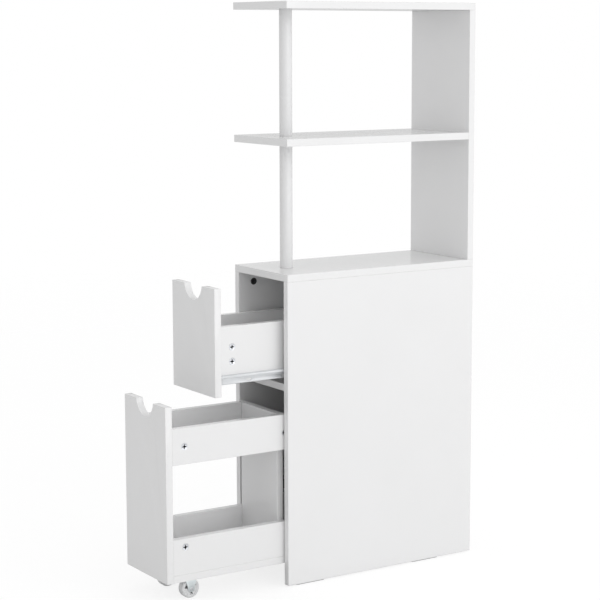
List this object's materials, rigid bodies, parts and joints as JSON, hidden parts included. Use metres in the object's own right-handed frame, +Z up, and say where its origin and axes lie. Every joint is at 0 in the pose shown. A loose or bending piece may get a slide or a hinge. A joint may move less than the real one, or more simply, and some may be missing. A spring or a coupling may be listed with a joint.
{
  "type": "bathroom cabinet",
  "caption": "Tall narrow bathroom cabinet with open shelves on a round post, an inset drawer on roller slides and a pull-out of trays that rolls on casters.",
  "frame": {"origin": "on the floor, under the middle of the space that the cabinet fills with its drawer and pull-out drawn out as stored", "axes": "+Z up, -Y the way the drawer and pull-out come out, +Y towards the wall, +X to the right of someone who looks along +Y at the front"},
  "size_m": [0.208, 0.751, 1.202],
  "materials": {
    "white_board": "gloss white melamine",
    "white_sheet": "satin white foil",
    "post_paint": "smooth white powder coat",
    "plug_plastic": "moulded plastic",
    "slide_steel": "zinc-plated rolled steel",
    "bracket_paint": "matt black powder-coated steel",
    "fork_steel": "zinc-plated pressed steel",
    "screw_steel": "zinc-plated",
    "silver_cam": "bright die-cast zinc",
    "dark_cam": "dark die-cast zinc",
    "dowel_wood": "bare beech",
    "roller_nylon": "white nylon",
    "wheel_plastic": "light grey moulded plastic",
    "glide_plastic": "grey moulded plastic"
  },
  "bodies": {
    "carcass": {"left_side_panel": "white_board", "right_side_panel": "white_board", "body_top_board": "white_board", "divider_board": "white_board", "lower_back_panel": "white_sheet", "rear_bottom_rail": "white_board", "tall_back_panel": "white_board", "middle_shelf": "white_board", "top_shelf": "white_board", "lower_post": "post_paint", "upper_post": "post_paint", "post_end_plugs": "plug_plastic", "post_fixings": "screw_steel", "floor_glides": "glide_plastic", "carcass_cam_locks": "dark_cam", "carcass_cam_bolts": "screw_steel", "carcass_dowels": "dowel_wood", "left_cabinet_slide": "slide_steel", "right_cabinet_slide": "slide_steel", "left_guide_channel": "slide_steel", "right_guide_channel": "slide_steel", "cabinet_slide_screws": "screw_steel", "cabinet_roller_pins": "screw_steel"},
    "drawer": {"drawer_front": "white_board", "drawer_left_side": "white_board", "drawer_right_side": "white_board", "drawer_back": "white_board", "drawer_bottom": "white_sheet", "left_drawer_slide": "slide_steel", "right_drawer_slide": "slide_steel", "drawer_cam_locks": "silver_cam", "drawer_cam_bolts": "screw_steel", "drawer_back_screws": "screw_steel", "drawer_slide_screws": "screw_steel", "drawer_roller_pins": "screw_steel"},
    "pullout": {"pullout_front": "white_board", "pullout_back": "white_board", "pullout_base": "white_board", "upper_tray_left_side": "white_board", "upper_tray_right_side": "white_board", "upper_tray_bottom": "white_sheet", "lower_tray_left_side": "white_board", "lower_tray_right_side": "white_board", "pullout_cam_locks": "silver_cam", "pullout_cam_bolts": "screw_steel", "pullout_dowels": "dowel_wood", "pullout_screws": "screw_steel", "pullout_pan_screws": "screw_steel", "caster_forks": "fork_steel", "caster_axles": "screw_steel", "guide_brackets": "bracket_paint", "guide_roller_pins": "screw_steel"},
    "left_cabinet_roller": {"left_cabinet_roller": "roller_nylon"},
    "right_cabinet_roller": {"right_cabinet_roller": "roller_nylon"},
    "left_drawer_roller": {"left_drawer_roller": "roller_nylon"},
    "right_drawer_roller": {"right_drawer_roller": "roller_nylon"},
    "left_guide_roller": {"left_guide_roller": "roller_nylon"},
    "right_guide_roller": {"right_guide_roller": "roller_nylon"},
    "left_caster_wheel": {"left_caster_wheel": "wheel_plastic"},
    "right_caster_wheel": {"right_caster_wheel": "wheel_plastic"}
  },
  "joints": [
    {"name": "drawer_slide", "type": "slide", "parent": "carcass", "child": "drawer", "axis": [0, -1, 0], "range_m": [-0.161, 0.06]},
    {"name": "pullout_roll", "type": "slide", "parent": "carcass", "child": "pullout", "axis": [0, -1, 0], "range_m": [-0.275, 0.008]},
    {"name": "left_cabinet_roller_spin", "type": "hinge", "parent": "carcass", "child": "left_cabinet_roller", "pos_m": [-0.0809, -0.0745, 0.44701], "axis": [1, 0, 0], "continuous": true},
    {"name": "right_cabinet_roller_spin", "type": "hinge", "parent": "carcass", "child": "right_cabinet_roller", "pos_m": [0.0809, -0.0745, 0.44701], "axis": [1, 0, 0], "continuous": true},
    {"name": "left_drawer_roller_spin", "type": "hinge", "parent": "drawer", "child": "left_drawer_roller", "pos_m": [-0.0809, 0.0415, 0.44051], "axis": [1, 0, 0], "continuous": true},
    {"name": "right_drawer_roller_spin", "type": "hinge", "parent": "drawer", "child": "right_drawer_roller", "pos_m": [0.0809, 0.0415, 0.44051], "axis": [1, 0, 0], "continuous": true},
    {"name": "left_guide_roller_spin", "type": "hinge", "parent": "pullout", "child": "left_guide_roller", "pos_m": [-0.0809, -0.0665, 0.212], "axis": [1, 0, 0], "continuous": true},
    {"name": "right_guide_roller_spin", "type": "hinge", "parent": "pullout", "child": "right_guide_roller", "pos_m": [0.0809, -0.0665, 0.212], "axis": [1, 0, 0], "continuous": true},
    {"name": "left_caster_wheel_spin", "type": "hinge", "parent": "pullout", "child": "left_caster_wheel", "pos_m": [-0.047, -0.305, 0.02], "axis": [1, 0, 0], "continuous": true},
    {"name": "right_caster_wheel_spin", "type": "hinge", "parent": "pullout", "child": "right_caster_wheel", "pos_m": [0.047, -0.305, 0.02], "axis": [1, 0, 0], "continuous": true}
  ],
  "couplings": [
    {"joint": "left_cabinet_roller_spin", "follows": "drawer_slide", "rad_per_m": 125},
    {"joint": "right_cabinet_roller_spin", "follows": "drawer_slide", "rad_per_m": 125},
    {"joint": "left_drawer_roller_spin", "follows": "drawer_slide", "rad_per_m": 125},
    {"joint": "right_drawer_roller_spin", "follows": "drawer_slide", "rad_per_m": 125},
    {"joint": "left_guide_roller_spin", "follows": "pullout_roll", "rad_per_m": 125},
    {"joint": "right_guide_roller_spin", "follows": "pullout_roll", "rad_per_m": 125},
    {"joint": "left_caster_wheel_spin", "follows": "pullout_roll", "rad_per_m": 50},
    {"joint": "right_caster_wheel_spin", "follows": "pullout_roll", "rad_per_m": 50}
  ]
}
